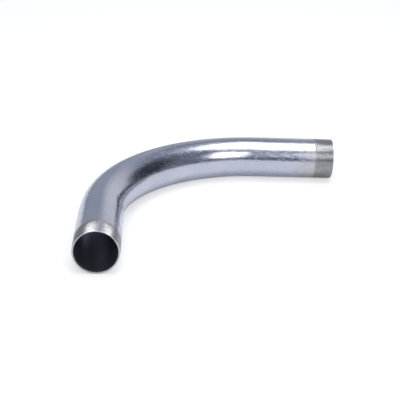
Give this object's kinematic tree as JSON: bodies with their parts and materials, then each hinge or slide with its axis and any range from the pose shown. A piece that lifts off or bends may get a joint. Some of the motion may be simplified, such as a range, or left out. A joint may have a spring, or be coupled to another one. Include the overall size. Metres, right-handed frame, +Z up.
{
  "type": "conduit elbow",
  "caption": "Rigid steel conduit elbow: a round tube bent through a wide quarter turn, with an open, tapered, threaded end on each short straight leg.",
  "frame": {"origin": "on the floor under the middle of the elbow's box, the elbow lying flat", "axes": "+Z up, across the plane of the bend; the near leg's open end faces -Y and the far leg's open end faces +X"},
  "size_m": [0.546, 0.546, 0.0883],
  "materials": {
    "zinc_steel": "satin"
  },
  "bodies": {
    "root": {"conduit_elbow": "zinc_steel"}
  },
  "joints": []
}
